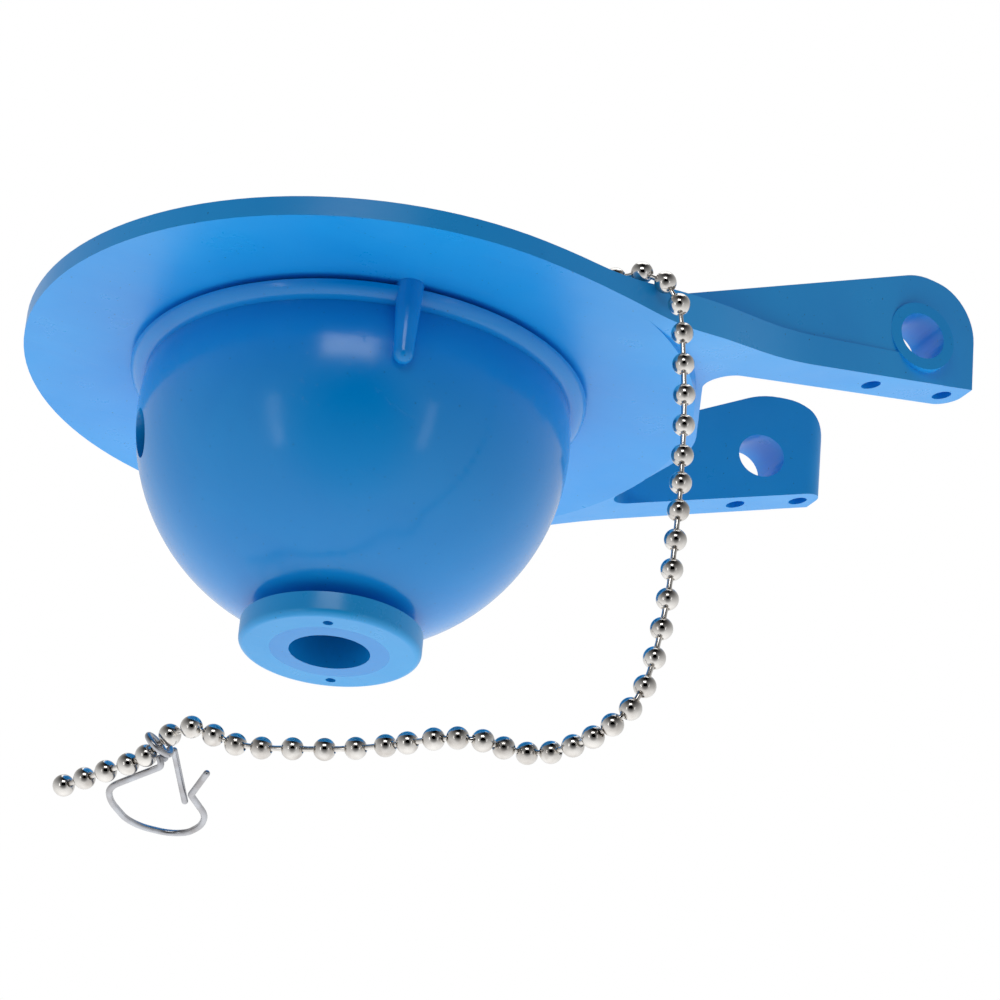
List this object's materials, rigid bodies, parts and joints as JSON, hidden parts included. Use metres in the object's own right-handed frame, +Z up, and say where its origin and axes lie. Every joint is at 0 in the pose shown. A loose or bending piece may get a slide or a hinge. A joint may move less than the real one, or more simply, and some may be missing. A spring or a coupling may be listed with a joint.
{
  "type": "float valve",
  "caption": "Flush-valve flapper: a flat seat disc over a hollow float bowl with a ring-shaped foot, rising hinge arms with pivot bores, and a ball chain ending in a wire clip.",
  "frame": {"origin": "middle of the hinge axis, half way between the two ears' pivot bores, with the valve closed", "axes": "+X from the seat disc towards the hinge ears, +Y along the hinge axis, +Z up, square to the seat disc"},
  "size_m": [0.1407, 0.1, 0.0981],
  "materials": {
    "body_blue": "soft moulded plastic, satin-gloss, light mid blue",
    "bowl_blue": "moulded plastic, glossy, mid blue",
    "ring_blue": "moulded plastic, satin, mid blue",
    "chain_steel": "bright polished stainless steel",
    "spring_wire": "drawn spring steel wire, slightly dull"
  },
  "bodies": {
    "valve": {"flapper_body": "body_blue", "float_bowl": "bowl_blue", "bottom_ring": "ring_blue", "chain_ball_01": "chain_steel", "chain_ball_02": "chain_steel", "chain_ball_03": "chain_steel", "chain_ball_04": "chain_steel", "chain_ball_05": "chain_steel", "chain_ball_06": "chain_steel", "chain_ball_07": "chain_steel", "chain_ball_08": "chain_steel", "chain_ball_09": "chain_steel", "chain_ball_10": "chain_steel", "chain_ball_11": "chain_steel", "chain_ball_12": "chain_steel", "chain_ball_13": "chain_steel", "chain_ball_14": "chain_steel", "chain_ball_15": "chain_steel", "chain_ball_16": "chain_steel", "chain_ball_17": "chain_steel", "chain_ball_18": "chain_steel", "chain_ball_19": "chain_steel", "chain_ball_20": "chain_steel", "chain_ball_21": "chain_steel", "chain_ball_22": "chain_steel", "chain_ball_23": "chain_steel", "chain_ball_24": "chain_steel", "chain_ball_25": "chain_steel", "chain_ball_26": "chain_steel", "chain_ball_27": "chain_steel", "chain_ball_28": "chain_steel", "chain_ball_29": "chain_steel", "chain_ball_30": "chain_steel", "chain_ball_31": "chain_steel", "chain_ball_32": "chain_steel", "chain_ball_33": "chain_steel", "chain_ball_34": "chain_steel", "chain_ball_35": "chain_steel", "chain_ball_36": "chain_steel", "chain_ball_37": "chain_steel", "chain_ball_38": "chain_steel", "chain_ball_39": "chain_steel", "chain_ball_40": "chain_steel", "chain_ball_41": "chain_steel", "chain_ball_42": "chain_steel", "chain_ball_43": "chain_steel", "chain_ball_44": "chain_steel", "chain_ball_45": "chain_steel", "chain_ball_46": "chain_steel", "chain_ball_47": "chain_steel", "chain_ball_48": "chain_steel", "chain_ball_49": "chain_steel", "chain_ball_50": "chain_steel", "chain_ball_51": "chain_steel", "chain_ball_52": "chain_steel", "chain_ball_53": "chain_steel"},
    "clip": {"clip_bow": "spring_wire"},
    "gate": {"clip_gate": "spring_wire"}
  },
  "joints": [
    {"name": "clip_swivel", "type": "hinge", "parent": "valve", "child": "clip", "pos_m": [-0.10265, 0.00233, -0.08354], "axis": [-0.4175, 0.7061, -0.572], "range_deg": [0, 120]},
    {"name": "clip_gate_spring", "type": "hinge", "parent": "clip", "child": "gate", "pos_m": [-0.0998, 0.00341, -0.08317], "axis": [0, 0, 1], "range_deg": [0, 12], "stiffness_Nm_per_rad": 0.02}
  ]
}
